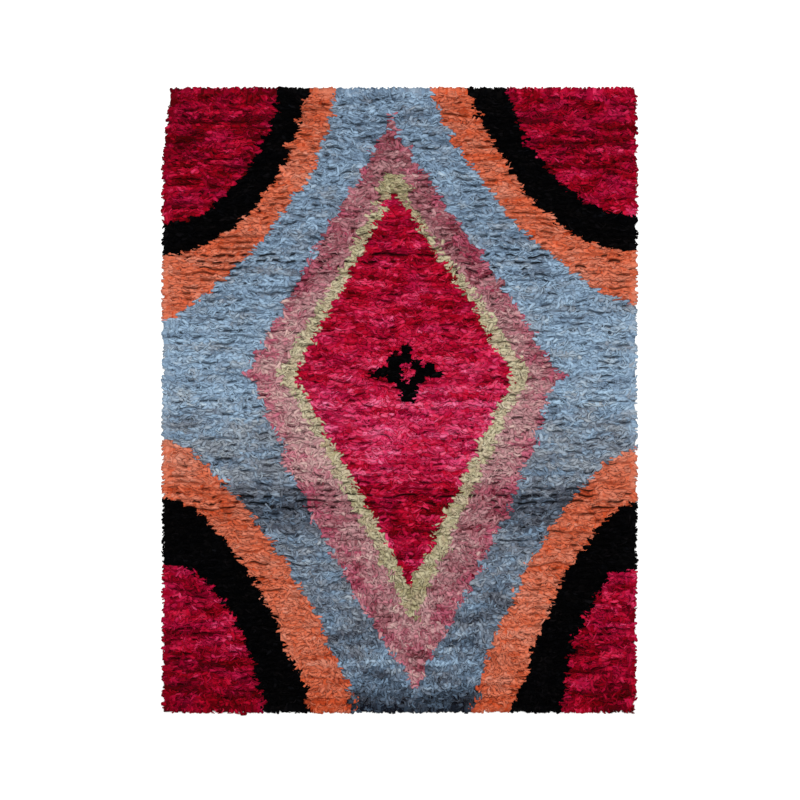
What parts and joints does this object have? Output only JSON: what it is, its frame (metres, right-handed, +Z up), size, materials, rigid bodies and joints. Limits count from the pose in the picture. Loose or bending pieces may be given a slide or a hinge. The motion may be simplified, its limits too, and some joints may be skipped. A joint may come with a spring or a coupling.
{
  "type": "berber rug",
  "caption": "Thick hand-knotted wool rug lying flat, with a shaggy pile, nested diamonds around a small stepped diamond, and dark, orange and blue corner fields.",
  "frame": {"origin": "middle of the rug's reach, on its flat underside", "axes": "+Z up, +Y along the rug's length towards its far end, +X to the right; the pile leans towards -Y"},
  "size_m": [1.4984, 1.966, 0.032],
  "materials": {
    "crimson_wool": "matte wool pile",
    "black_wool": "matte wool pile",
    "orange_wool": "matte wool pile",
    "blue_wool": "matte wool pile",
    "rose_wool": "matte wool pile",
    "pale_wool": "matte wool pile",
    "packed_wool": "matte packed wool, in the colours of the knots above it",
    "ground_weave": "matte flat weave"
  },
  "bodies": {
    "root": {"rug": "crimson_wool"}
  },
  "joints": []
}
